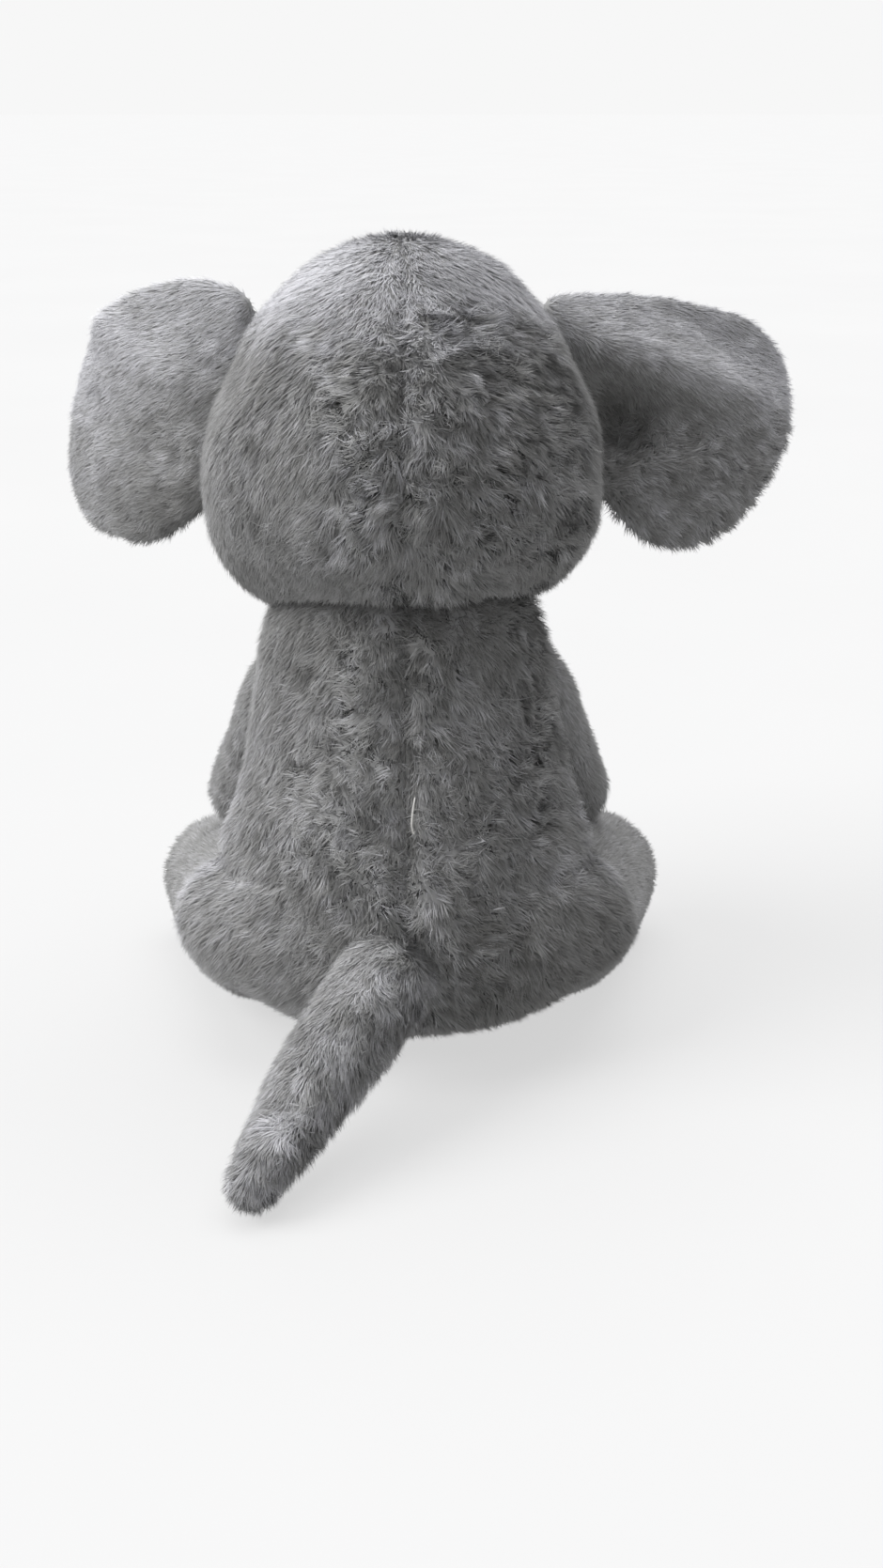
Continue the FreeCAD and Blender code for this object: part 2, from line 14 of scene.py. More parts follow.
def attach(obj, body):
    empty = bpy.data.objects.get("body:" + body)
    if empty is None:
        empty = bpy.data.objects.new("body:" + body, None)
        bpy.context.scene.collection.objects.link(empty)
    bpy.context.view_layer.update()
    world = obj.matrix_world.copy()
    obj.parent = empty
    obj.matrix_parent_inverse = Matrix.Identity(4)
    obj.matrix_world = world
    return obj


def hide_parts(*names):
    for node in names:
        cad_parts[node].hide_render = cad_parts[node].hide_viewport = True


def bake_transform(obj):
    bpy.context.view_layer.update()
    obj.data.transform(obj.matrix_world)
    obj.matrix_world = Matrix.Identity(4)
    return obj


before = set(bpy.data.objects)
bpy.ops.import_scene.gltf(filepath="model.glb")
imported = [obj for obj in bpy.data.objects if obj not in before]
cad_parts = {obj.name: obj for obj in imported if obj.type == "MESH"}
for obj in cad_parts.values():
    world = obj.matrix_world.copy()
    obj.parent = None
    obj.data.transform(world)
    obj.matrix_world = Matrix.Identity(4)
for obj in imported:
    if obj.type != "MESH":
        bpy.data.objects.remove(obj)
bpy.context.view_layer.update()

MM = 0.001
PILE_LAYER = "OFBake"       # UV layer: u is a hair's tone, v runs from its root to its tip

HEAD_CENTRE = np.array([0, -4, 208]) * MM
NECK_CENTRE = np.array([0, -5, 141]) * MM
EAR_HINGE = np.array([63.3, -27.7, 219]) * MM
TAIL_ROOT = np.array([6, 66, 46]) * MM
TAIL_END = np.array([44, 124, 15]) * MM
TRUNK_ROOT = np.array([0, -65, 188]) * MM
TRUNK_BEND = np.array([0, -108, 145]) * MM
HEAD_TILT = math.radians(18)


# ---------------------------------------------------------------- numbers

def unit(vectors):
    return vectors / np.maximum(np.linalg.norm(vectors, axis=-1, keepdims=True), 1e-9)


def smoothstep(low, high, value):
    t = np.clip((value - low) / (high - low), 0, 1)
    return t * t * (3 - 2 * t)


def bump(value, width):
    """A soft bell, 1 where value is 0 and falling away over width."""
    return np.exp(-(value / width) ** 2)


def noise(points, size, seed):
    """Smooth random vectors, each part between -1 and 1, that change over about size metres."""
    cells = 48
    table = np.random.RandomState(seed).uniform(-1, 1, (cells, cells, cells, 3))
    place = points / size + 1000.0
    base = np.floor(place).astype(int)
    part = place - base
    part = part * part * (3 - 2 * part)
    total = np.zeros((len(points), 3))
    for dx in (0, 1):
        for dy in (0, 1):
            for dz in (0, 1):
                corner = (base + (dx, dy, dz)) % cells
                share = np.abs((1 - dx) - part[:, 0]) * np.abs((1 - dy) - part[:, 1])
                share = share * np.abs((1 - dz) - part[:, 2])
                total += table[corner[:, 0], corner[:, 1], corner[:, 2]] * share[:, None]
    return total


def turn_x(points, angle):
    c, s = math.cos(angle), math.sin(angle)
    return points @ np.array([[1, 0, 0], [0, c, s], [0, -s, c]])


def through(stations, count):
    """A smooth curve of count rows that passes through every row of stations."""
    stations = np.array(stations, float)
    before, after = 2 * stations[:1] - stations[1:2], 2 * stations[-1:] - stations[-2:-1]
    padded = np.concatenate([before, stations, after])
    rows = []
    for step in np.linspace(0, len(stations) - 1, count):
        i = min(int(step), len(stations) - 2)
        t = step - i
        p0, p1, p2, p3 = padded[i:i + 4]
        rows.append(0.5 * (2 * p1 + (p2 - p0) * t + (2 * p0 - 5 * p1 + 4 * p2 - p3) * t * t
                           + (3 * p1 - p0 - 3 * p2 + p3) * t ** 3))
    return np.array(rows)


# ---------------------------------------------------------------- meshes

def grid_faces(rows, columns):
    """Quads of a closed tube of rows by columns points, with a cap at each end."""
    faces = []
    for i in range(rows - 1):
        for j in range(columns):
            k = (j + 1) % columns
            faces.append((i * columns + j, i * columns + k, (i + 1) * columns + k, (i + 1) * columns + j))
    faces.append(tuple(reversed(range(columns))))
    faces.append(tuple((rows - 1) * columns + j for j in range(columns)))
    return faces


def stuffed_tube(stations, flat_end=None, columns=48):
    """Round-ended tube through (x, y, z, radius) stations in mm; flat_end squares off its far end."""
    rows = through(stations, 24) * MM
    path, radii = rows[:, :3], rows[:, 3]
    tangents = unit(np.gradient(path, axis=0))
    side = unit(np.cross(tangents, [0.0, 0.0, 1.0]))
    up = np.cross(side, tangents)
    angles = np.linspace(0, 2 * math.pi, columns, endpoint=False)
    rings = []

    def ring(centre, across, lift, radius):
        rings.append(centre + radius * (np.outer(np.cos(angles), across) + np.outer(np.sin(angles), lift)))

    for t in np.linspace(-0.98, -0.1, 9):
        ring(path[0] + tangents[0] * t * radii[0], side[0], up[0], radii[0] * math.sqrt(1 - t * t))
    for centre, across, lift, radius in zip(path, side, up, radii):
        ring(centre, across, lift, radius)
    reach = radii[-1] if flat_end is None else flat_end * MM
    power = 2 if flat_end is None else 5
    for t in np.linspace(0.1, 0.98, 9):
        ring(path[-1] + tangents[-1] * t * reach, side[-1], up[-1], radii[-1] * math.sqrt(1 - t ** power))
    return np.concatenate(rings), grid_faces(len(rings), columns)


def ball(centre, radii, rows=25, columns=40, tip=0.05):
    """A round or flattened ball; tip is how far from the poles it is capped, in radians."""
    angles = np.linspace(0, 2 * math.pi, columns, endpoint=False)
    rings = [np.stack([np.cos(r) * np.cos(angles), np.cos(r) * np.sin(angles),
                       np.full(columns, math.sin(r))], axis=1)
             for r in np.linspace(-math.pi / 2 + tip, math.pi / 2 - tip, rows)]
    return np.concatenate(rings) * radii + centre, grid_faces(rows, columns)


def new_object(name, points, faces):
    mesh = bpy.data.meshes.new(name)
    mesh.from_pydata([tuple(p) for p in points], [], faces)
    mesh.update()
    item = bpy.data.objects.new(name, mesh)
    bpy.context.scene.collection.objects.link(item)
    return item


def blank(name, shape, voxel, smooth):
    """One closed skin from a closed shape, remeshed at voxel mm and smoothed that many times."""
    item = new_object(name, *shape)
    remesh = item.modifiers.new("even", "REMESH")
    remesh.mode = "VOXEL"
    remesh.voxel_size = voxel * MM
    relax = item.modifiers.new("relax", "SMOOTH")
    relax.factor = 0.5
    relax.iterations = smooth
    graph = bpy.context.evaluated_depsgraph_get()
    mesh = bpy.data.meshes.new_from_object(item.evaluated_get(graph))
    item.modifiers.clear()
    item.data = mesh
    return item


def coordinates(item):
    points = np.empty(len(item.data.vertices) * 3)
    item.data.vertices.foreach_get("co", points)
    return points.reshape(-1, 3)


def normals(item):
    found = np.empty(len(item.data.vertices) * 3)
    item.data.vertices.foreach_get("normal", found)
    return found.reshape(-1, 3)


def reshape(item, points):
    item.data.vertices.foreach_set("co", points.astype(np.float32).ravel())
    item.data.update()


def push(item, amount):
    """Move each point along its normal by amount, one number per point in metres."""
    reshape(item, coordinates(item) + normals(item) * amount[:, None])


CLOTH_FRAMES = 20


def puff(item, seams, pressure=4.0, most=3.0):
    """Blow a skin up like stuffed cloth while its seams are held, moving no point over most mm."""
    group = item.vertex_groups.new(name="seams")
    group.add([int(i) for i in np.nonzero(seams)[0]], 1.0, "REPLACE")
    cloth = item.modifiers.new("puff", "CLOTH")
    cloth.settings.vertex_group_mass = "seams"
    cloth.settings.quality = 4
    cloth.settings.use_pressure = True
    cloth.settings.uniform_pressure_force = pressure
    cloth.settings.effector_weights.gravity = 0
    cloth.point_cache.frame_start = 1
    cloth.point_cache.frame_end = CLOTH_FRAMES
    scene = bpy.context.scene
    for number in range(1, CLOTH_FRAMES + 1):
        scene.frame_set(number)
    before = coordinates(item)
    graph = bpy.context.evaluated_depsgraph_get()
    blown = bpy.data.meshes.new_from_object(item.evaluated_get(graph))
    after = np.empty(len(blown.vertices) * 3)
    blown.vertices.foreach_get("co", after)
    bpy.data.meshes.remove(blown)
    move = after.reshape(-1, 3) - before
    far = np.linalg.norm(move, axis=1, keepdims=True)
    item.modifiers.clear()
    item.vertex_groups.clear()
    reshape(item, before + move * np.minimum(1, most * MM / np.maximum(far, 1e-9)))
    scene.frame_set(1)


def halves(item, left_name, right_name):
    """Cut a closed skin down the middle into two closed skins."""
    found = []
    for name, sign in ((left_name, 1), (right_name, -1)):
        work = bmesh.new()
        work.from_mesh(item.data)
        everything = work.verts[:] + work.edges[:] + work.faces[:]
        cut = bmesh.ops.bisect_plane(work, geom=everything, plane_co=(sign * 0.05 * MM, 0, 0),
                                     plane_no=(-sign, 0, 0), clear_outer=True)
        edges = [part for part in cut["geom_cut"] if isinstance(part, bmesh.types.BMEdge)]
        bmesh.ops.contextual_create(work, geom=edges)
        bmesh.ops.recalc_face_normals(work, faces=work.faces[:])
        mesh = bpy.data.meshes.new(name)
        work.to_mesh(mesh)
        work.free()
        half = bpy.data.objects.new(name, mesh)
        bpy.context.scene.collection.objects.link(half)
        found.append(half)
    bpy.data.objects.remove(item)
    return found


# ---------------------------------------------------------------- pile

TUFT_HAIRS = 14             # hairs that lean together
SKIN_SHADE_DEPTH = 0.45           # how far up a hair's painted root shade the skin's colour is taken from, so the skin under the pile is painted darker
BALD = 0.05                 # growth under which a skin carries no hair
HAIR_WIDTH = 0.48           # of a usual hair at its root, in mm
HAIR_SUNK = 0.6 * MM        # depth of a hair's root under the skin
SLEEK_RISE, TOUSLED_RISE = 0.25, 0.68   # how steeply a hair stands, over its reach along the skin
CURRENT, SWIRL, FLECK = 9 * MM, 3 * MM, 2.5 * MM   # sizes of the unevenness in the pile


def pick_roots(item, triangles, count, grow, random):
    """Spread count roots evenly over a skin: each one's place and the skin's normal there."""
    skin_points, skin_normals = coordinates(item), normals(item)
    corners = skin_points[triangles]
    facing = np.cross(corners[:, 1] - corners[:, 0], corners[:, 2] - corners[:, 0])
    areas = np.linalg.norm(facing, axis=1)
    middles = corners.mean(axis=1)
    if grow is not None:
        areas = areas * (grow(middles, unit(facing)) > BALD)
    # The back, which shows most, carries the densest pile.
    areas = areas * (0.6 + 0.4 * smoothstep(-30 * MM, 15 * MM, middles[:, 1]))
    # Picks are spread evenly along the running area, so that no patch is bald.
    running = np.cumsum(areas) / areas.sum()
    order = np.searchsorted(running, (np.arange(count) + random.rand(count)) / count)
    chosen = triangles[np.minimum(order, len(triangles) - 1)]
    a, b = random.rand(2, count)
    over = a + b > 1
    a[over], b[over] = 1 - a[over], 1 - b[over]
    weights = np.stack([1 - a - b, a, b], axis=1)
    roots = (skin_points[chosen] * weights[:, :, None]).sum(axis=1)
    return roots, unit((skin_normals[chosen] * weights[:, :, None]).sum(axis=1))


def comb(roots, out, flow, rough, seed, random):
    """Ruffle the lying directions in flow, and lift each hair off the skin.

    Gives each hair's direction along the skin, and the direction that it grows in.
    """
    count = len(roots)
    currents = 0.8 * noise(roots, CURRENT, seed + 1) + noise(roots, SWIRL, seed + 2)
    flow = flow + (0.12 + 1.0 * rough) * currents
    flow = flow + (0.14 + 0.3 * rough) * random.normal(size=(count, 3))
    flow = unit(flow - (flow * out).sum(axis=1, keepdims=True) * out)
    rise = SLEEK_RISE + (TOUSLED_RISE - SLEEK_RISE) * rough
    rise = rise * (1 + 0.5 * noise(roots, FLECK, seed + 3)[:, :1])
    rise = rise + 0.10 * random.normal(size=(count, 1))
    return flow, unit(flow + out * np.clip(rise, 0.1, 1.0))


def gather(roots, direction, long, drawn, random):
    """Hair tips, each drawn towards the tip of the tuft that its root belongs to."""
    leaders = random.choice(len(roots), max(len(roots) // TUFT_HAIRS, 8), replace=False)
    tree = kdtree.KDTree(len(leaders))
    for number, leader in enumerate(leaders):
        tree.insert(roots[leader], number)
    tree.balance()
    nearest = leaders[[tree.find(root)[1] for root in roots]]
    tip = roots + direction * long
    target = roots[nearest] + direction[nearest] * long * 1.05
    return tip + (target - tip) * drawn


def hair_shades(roots, rough, tone, seed, random):
    """Tone of each hair: patches of several sizes, strongest where the pile is tousled."""
    shade = 0.5 + 0.07 * noise(roots, 24 * MM, seed + 5)[:, 0]
    shade = shade + 0.08 * noise(roots, 7 * MM, seed + 6)[:, 0]
    shade += (0.08 + 0.32 * rough[:, 0]) * noise(roots, SWIRL, seed + 8)[:, 0]
    shade += 0.12 * random.normal(size=len(roots))
    # tone adds each piece's painted light and shade, where it has some.
    if tone is not None:
        shade = shade + tone(roots)
    return np.clip(shade, 0.08, 0.97)


def pile(item, count, length, lie, seed, width=HAIR_WIDTH, ruffle=0.5, grow=None, tone=None):
    """Cover a skin with closed tapering hairs, gathered into tufts, and join them to it.

    lie gives each root's lying direction. ruffle, a number or a function of the roots, runs from 0
    for sleek pile to 1 for tousled pile. grow scales hair length, and tone lightens or darkens: on the
    torso, head and ears it is painted light and shade.
    """
    random = np.random.RandomState(seed)
    mesh = item.data
    mesh.calc_loop_triangles()
    triangles = np.empty(len(mesh.loop_triangles) * 3, int)
    mesh.loop_triangles.foreach_get("vertices", triangles)
    triangles = triangles.reshape(-1, 3)
    roots, out = pick_roots(item, triangles, count, grow, random)

    scale = np.ones(count) if grow is None else np.clip(grow(roots, out), BALD, 2)
    rough = np.full(count, ruffle) if np.isscalar(ruffle) else ruffle(roots)
    rough = np.clip(rough + 0.35 * noise(roots, 16 * MM, seed + 7)[:, 0], 0, 1)[:, None]
    flow, direction = comb(roots, out, lie(roots, out), rough, seed, random)
    long = (length * MM * scale * (0.8 + 0.35 * random.rand(count)))[:, None]
    drawn = (0.06 + 0.3 * rough) * np.minimum(1, scale)[:, None]
    tip = gather(roots, direction, long, drawn, random)

    # A hair is a slim closed spike on a three-cornered root.
    across = unit(np.cross(out, flow))
    half = (width * MM * 0.5 * (0.75 + 0.5 * random.rand(count)) * np.sqrt(scale))[:, None]
    base = roots - out * HAIR_SUNK
    corners = [base + across * half, base - across * half, base + out * half * 1.2 + flow * half, tip]
    hair_points = np.stack(corners, axis=1).reshape(-1, 3)
    pattern = np.array([[0, 1, 2], [0, 3, 1], [1, 3, 2], [2, 3, 0]])
    hair_faces = (np.arange(count) * 4)[:, None, None] + pattern[None]
    # Hairs are shaded mostly as the skin under them is, tipped one way or another tuft by tuft.
    facing = out * 1.3 + (0.25 + 0.65 * rough) * noise(roots, 3.5 * MM, seed + 9)
    soft = [unit(facing + tip_by) for tip_by in (across, -across, flow * 0.3, flow * 0.5)]
    hair_normals = np.stack(soft, axis=1).reshape(-1, 3)
    shade = hair_shades(roots, rough, tone, seed, random)
    hair_u = (shade[:, None] + np.array([-0.02, 0.02, 0.0, 0.0])).ravel()
    hair_v = np.tile([0.0, 0.0, 0.0, 1.0], count)

    skin_points = coordinates(item)
    skin_u = np.full(len(skin_points), 0.5) + 0.2 * noise(skin_points, 7 * MM, seed + 6)[:, 0]
    item.data = triangle_mesh(
        item.name,
        np.concatenate([skin_points, hair_points]),
        np.concatenate([triangles, hair_faces.reshape(-1, 3) + len(skin_points)]),
        np.concatenate([skin_u, hair_u]),
        np.concatenate([np.full(len(skin_points), SKIN_SHADE_DEPTH), hair_v]),
        np.concatenate([normals(item), hair_normals]))
    return item


def triangle_mesh(name, points, faces, u, v, point_normals):
    """A smooth mesh of triangles, with the pile's layer and its own shading normals."""
    mesh = bpy.data.meshes.new(name)
    mesh.vertices.add(len(points))
    mesh.vertices.foreach_set("co", points.astype(np.float32).ravel())
    mesh.loops.add(faces.size)
    mesh.loops.foreach_set("vertex_index", faces.astype(np.int32).ravel())
    mesh.polygons.add(len(faces))
    mesh.polygons.foreach_set("loop_start", np.arange(len(faces), dtype=np.int32) * 3)
    mesh.polygons.foreach_set("use_smooth", np.ones(len(faces), bool))
    layer = mesh.uv_layers.new(name=PILE_LAYER)
    layer.data.foreach_set("uv", np.stack([u, v], axis=1)[faces.ravel()].astype(np.float32).ravel())
    mesh.update()
    mesh.normals_split_custom_set_from_vertices(point_normals.astype(np.float32))
    return mesh


# ---------------------------------------------------------------- materials

def node_material(name):
    material = bpy.data.materials.new(name)
    material.use_nodes = True
    tree = material.node_tree
    return material, tree, tree.nodes["Principled BSDF"]


def pile_material(name, dark, middle, light, root_painted_shade=0.5, sheen=0.25):
    """Plush pile: tone across u, painted shade that darkens each hair towards its root, and a soft sheen.
    """
    material, tree, shader = node_material(name)
    layer = tree.nodes.new("ShaderNodeUVMap")
    layer.uv_map = PILE_LAYER
    split = tree.nodes.new("ShaderNodeSeparateXYZ")
    tree.links.new(layer.outputs["UV"], split.inputs[0])
    tone = tree.nodes.new("ShaderNodeValToRGB")
    tone.color_ramp.elements[0].color = (*dark, 1)
    tone.color_ramp.elements[1].color = (*light, 1)
    between = tone.color_ramp.elements.new(0.5)
    between.color = (*middle, 1)
    tree.links.new(split.outputs["X"], tone.inputs["Fac"])
    # Painted shade: each hair is darker towards its root, where the pile shades itself.
    depth = tree.nodes.new("ShaderNodeValToRGB")
    depth.color_ramp.elements[0].color = (root_painted_shade, root_painted_shade, root_painted_shade, 1)
    depth.color_ramp.elements[1].color = (1, 1, 1, 1)
    depth.color_ramp.elements[1].position = 0.85
    tree.links.new(split.outputs["Y"], depth.inputs["Fac"])
    mix = tree.nodes.new("ShaderNodeMix")
    mix.data_type = "RGBA"
    mix.blend_type = "MULTIPLY"
    mix.inputs["Factor"].default_value = 1.0
    tree.links.new(tone.outputs["Color"], mix.inputs["A"])
    tree.links.new(depth.outputs["Color"], mix.inputs["B"])
    tree.links.new(mix.outputs["Result"], shader.inputs["Base Color"])
    shader.inputs["Roughness"].default_value = 0.85
    shader.inputs["Specular IOR Level"].default_value = 0.12
    shader.inputs["Sheen Weight"].default_value = sheen
    shader.inputs["Sheen Roughness"].default_value = 0.5
    return material


def grained_material(name, low, high, scale, rough, bump_height=0.2, coat=0.0):
    """A surface whose colour and relief follow fine noise."""
    material, tree, shader = node_material(name)
    place = tree.nodes.new("ShaderNodeTexCoord")
    grain = tree.nodes.new("ShaderNodeTexNoise")
    grain.inputs["Scale"].default_value = scale
    grain.inputs["Detail"].default_value = 6
    tree.links.new(place.outputs["Object"], grain.inputs["Vector"])
    ramp = tree.nodes.new("ShaderNodeValToRGB")
    ramp.color_ramp.elements[0].color = (*low, 1)
    ramp.color_ramp.elements[1].color = (*high, 1)
    ramp.color_ramp.elements[0].position = 0.3
    ramp.color_ramp.elements[1].position = 0.7
    tree.links.new(grain.outputs["Fac"], ramp.inputs["Fac"])
    tree.links.new(ramp.outputs["Color"], shader.inputs["Base Color"])
    relief = tree.nodes.new("ShaderNodeBump")
    relief.inputs["Strength"].default_value = bump_height
    relief.inputs["Distance"].default_value = 0.4 * MM
    tree.links.new(grain.outputs["Fac"], relief.inputs["Height"])
    tree.links.new(relief.outputs["Normal"], shader.inputs["Normal"])
    shader.inputs["Roughness"].default_value = rough
    shader.inputs["Coat Weight"].default_value = coat
    return material


# The last number is the painted shade at each hair's root.
PLUSH = pile_material("plush_pile", (0.19, 0.188, 0.18), (0.39, 0.39, 0.385), (0.80, 0.80, 0.84), 0.5)
VELOUR = pile_material("velour_pile", (0.22, 0.215, 0.21), (0.42, 0.415, 0.41), (0.60, 0.60, 0.60), 0.65)
FIBRE = grained_material("stuffing_fibre", (0.72, 0.72, 0.70), (0.92, 0.92, 0.90), 900, 0.95,
                         bump_height=0.6)
EYE = grained_material("eye_plastic", (0.004, 0.004, 0.004), (0.012, 0.011, 0.011), 200, 0.08,
                       bump_height=0.02, coat=0.6)
WASHER = grained_material("washer_plastic", (0.55, 0.55, 0.52), (0.68, 0.68, 0.65), 400, 0.5)
THREAD = grained_material("thread_twist", (0.62, 0.61, 0.58), (0.86, 0.85, 0.82), 1500, 0.8)


def finish_piece(item, body, material, replaced):
    """Give a skin its material, and put it on its body in place of the CAD nodes in replaced.

    body is a name. For a skin across a joint it is a tuple (body, next body, start, end), whose parts are
    not used: such a skin is only fixed where it stands, on no body.
    """
    item.data.materials.clear()
    item.data.materials.append(material)
    if isinstance(body, tuple):
        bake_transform(item)
    else:
        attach(item, body)
    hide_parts(*replaced)
    return item


# ---------------------------------------------------------------- torso

# Pear body: height, half width, half depth, y of the centre. The skin lies inside the pile.
TORSO_LEVELS = [
    (0.5, 20, 16, -6), (4, 31, 24, -3), (11, 43, 32, 2), (23, 60.5, 40.5, 9), (38, 77.5, 45.5, 14),
    (54, 78, 47.5, 14), (69, 67.5, 47.5, 11.5), (85, 60, 47.5, 8), (105, 55.5, 47, 2),
    (125, 53, 46.5, -3), (141, 50, 46, -5), (158, 45, 43, -5), (172, 35, 35, -5), (183, 22, 22, -5),
]


def make_torso():
    rows, columns = 70, 64
    angles = np.linspace(0, 2 * math.pi, columns, endpoint=False)
    # Narrower in front, where the legs lie against the belly.
    narrow = 1 - 0.2 * np.clip(-np.sin(angles), 0, 1)
    rings = [np.stack([width * np.cos(angles) * narrow, centre + depth * np.sin(angles),
                       np.full(columns, height)], axis=1)
             for height, width, depth, centre in through(TORSO_LEVELS, rows) * MM]
    shape = (np.concatenate(rings), grid_faces(rows, columns))
    item = blank("torso_skin", shape, voxel=3.0, smooth=6)
    points = coordinates(item)
    # The back seam, the seat and the neck are held while the rest fills out.
    seams = (points[:, 1] > 8 * MM) & (np.abs(points[:, 0]) < 2.5 * MM)
    seams |= (points[:, 2] < 4 * MM) | (points[:, 2] > 160 * MM)
    puff(item, seams, most=2.5)
    points = coordinates(item)
    x, y, z = points.T
    wide = np.abs(x)
    back = smoothstep(0, 25 * MM, y)
    groove = -2.4 * MM * bump(x, 3.5 * MM) * back * smoothstep(20 * MM, 50 * MM, z)
    # Light ridge where the back is sewn to each hind leg, and the fold that starts above it.
    ridge = 2.5 * MM * bump(y - 12 * MM, 7 * MM) * smoothstep(48 * MM, 60 * MM, wide)
    fold_x = 42 * MM - 0.25 * (70 * MM - z)
    fold = -2.6 * MM * bump(wide - fold_x, 5 * MM) * bump(z - 68 * MM, 14 * MM) * back
    crease = -3.2 * MM * bump(z - 74 * MM + 0.15 * (wide - 50 * MM), 4 * MM)
    crease *= smoothstep(40 * MM, 50 * MM, wide) * smoothstep(-30 * MM, 0, y)
    soft = 1.3 * MM * noise(points, 30 * MM, 11)[:, 0] + 0.7 * MM * noise(points, 14 * MM, 12)[:, 0]
    push(item, groove + ridge + fold + crease + soft)
    points = coordinates(item)
    points[:, 2] = np.maximum(points[:, 2], 0.6 * MM)
    reshape(item, points)
    return halves(item, "torso_left_skin", "torso_right_skin")


def on_cut(roots, out):
    """Points on the flat faces where a skin was cut down the middle."""
    return (np.abs(roots[:, 0]) < 0.2 * MM) & (np.abs(out[:, 0]) > 0.95)


def torso_lie(roots, out):
    """The back's pile falls, combed away from the middle seam and outwards over the haunches."""
    x, y, z = roots.T
    side = np.tanh(x / (10 * MM))
    apart = side * (0.3 + 0.2 * bump(x, 12 * MM) + 0.5 * smoothstep(75 * MM, 45 * MM, z))
    return np.stack([apart, np.full(len(x), 0.1), np.full(len(x), -0.7)], axis=1)


def torso_growth(roots, out):
    """Short under the seat and along the middle seam, bald where the head and the seam hide it."""
    x, y, z = roots.T
    size = 0.25 + 0.75 * smoothstep(3 * MM, 16 * MM, z)
    size *= 1 - 0.15 * bump(x, 2.5 * MM) * (y > 0)
    return np.where((z > 176 * MM) | on_cut(roots, out), 0, size)


def torso_ruffle(roots):
    """Sleek on the elephant's outer left, tousled over the middle and the right."""
    x, y, z = roots.T
    left = smoothstep(12 * MM, 50 * MM, x)
    right = smoothstep(-42 * MM, -60 * MM, x)
    low = smoothstep(30 * MM, 8 * MM, z)
    return np.clip(0.9 - 0.7 * left - 0.45 * right - 0.4 * low, 0, 1)


def torso_painted_light_and_seam(roots):
    # Painted light and shade: lighter on the lit left, darker on the shaded right and most of all low on
    # the right, painted shade under the head, and painted highlights along the haunch ridges and on a tuft
    # at the right haunch fold. The back seam is a darker line.
    x, y, z = roots.T
    ridge = bump(y - 12 * MM, 6 * MM) * smoothstep(50 * MM, 60 * MM, np.abs(x))
    seam = bump(x, 3 * MM) * (y > 0)
    under_head_shade = smoothstep(135 * MM, 155 * MM, z)
    low_right_shade = smoothstep(5 * MM, -30 * MM, x) * smoothstep(75 * MM, 40 * MM, z)
    tuft = bump(z - 74 * MM, 7 * MM) * bump(x + 51 * MM, 9 * MM) * (y > 0)
    return 0.03 * smoothstep(20 * MM, 50 * MM, x) - 0.08 * smoothstep(0, -40 * MM, x) \
        - 0.28 * low_right_shade + 0.3 * (ridge + tuft) - 0.06 * seam - 0.18 * under_head_shade


# ---------------------------------------------------------------- head

HEAD_RADIUS, HEAD_RISE, HEAD_DROP = 65.5 * MM, 72.5 * MM, 50.5 * MM
HEAD_FULLNESS = 0.78        # power that fills out the cheeks and the nape, 1 for none
NECK_HOLLOW = 50 * MM
EYES = [np.array([41.5, -54.5, 205]) * MM, np.array([-41.5, -54.5, 205]) * MM]
# Stuffing bulges in the cheeks and lower down behind them, most on the left: place and size in mm.
HEAD_BULGES = [((40, -45, -22), 2.5), ((-40, -45, -22), 2.5), ((50, 0, -31), 4), ((-50, 0, -33), 2)]


def make_head():
    rows, columns, tip = 50, 72, 0.04
    angles = np.linspace(0, 2 * math.pi, columns, endpoint=False)
    rings = []
    for r in np.linspace(-math.pi / 2 + tip, math.pi / 2 - tip, rows):
        if r > 0:
            # The crown comes to a soft point.
            height = HEAD_RISE * math.sin(r)
            ring = HEAD_RADIUS * math.cos(r) * (1 - 0.07 * math.sin(2 * r))
        else:
            height = -HEAD_DROP * abs(math.sin(r)) ** HEAD_FULLNESS
            ring = HEAD_RADIUS * math.cos(r) ** HEAD_FULLNESS
        rings.append(np.stack([ring * np.cos(angles), ring * np.sin(angles),
                               np.full(columns, height)], axis=1))
    shape = turn_x(np.concatenate(rings), HEAD_TILT) + HEAD_CENTRE
    item = blank("head_skin", (shape, grid_faces(rows, columns)), voxel=3.0, smooth=6)
    points = coordinates(item)
    seams = (np.abs(points[:, 0]) < 2.5 * MM) | (points[:, 2] < 166 * MM)
    puff(item, seams, most=2.5)
    points = coordinates(item)
    x, y, z = points.T
    amount = -1.7 * MM * bump(x, 3.5 * MM) * smoothstep(8 * MM, 40 * MM, y)
    for place, size in HEAD_BULGES:
        away = np.linalg.norm(points - HEAD_CENTRE - np.array(place) * MM, axis=1)
        amount += size * MM * bump(away, 26 * MM)
    amount += 1.4 * MM * noise(points, 34 * MM, 21)[:, 0] + 0.8 * MM * noise(points, 15 * MM, 22)[:, 0]
    push(item, amount)
    # Hollow underneath for the neck.
    points = coordinates(item)
    away = points - NECK_CENTRE
    near = np.linalg.norm(away, axis=1)
    inside = near < NECK_HOLLOW
    points[inside] = NECK_CENTRE + away[inside] / near[inside, None] * NECK_HOLLOW
    reshape(item, points)
    return halves(item, "head_left_skin", "head_right_skin")


def head_lie(roots, out):
    """Pile is combed out and down from the middle seam."""
    x = roots[:, 0]
    from_crown = roots - (HEAD_CENTRE + np.array([0, -55, 72]) * MM)
    flow = unit(from_crown) * 0.8
    flow[:, 0] += np.tanh(x / (18 * MM)) * 0.5
    flow[:, 2] -= 0.35 + 0.7 * smoothstep(190 * MM, 168 * MM, roots[:, 2])
    return flow


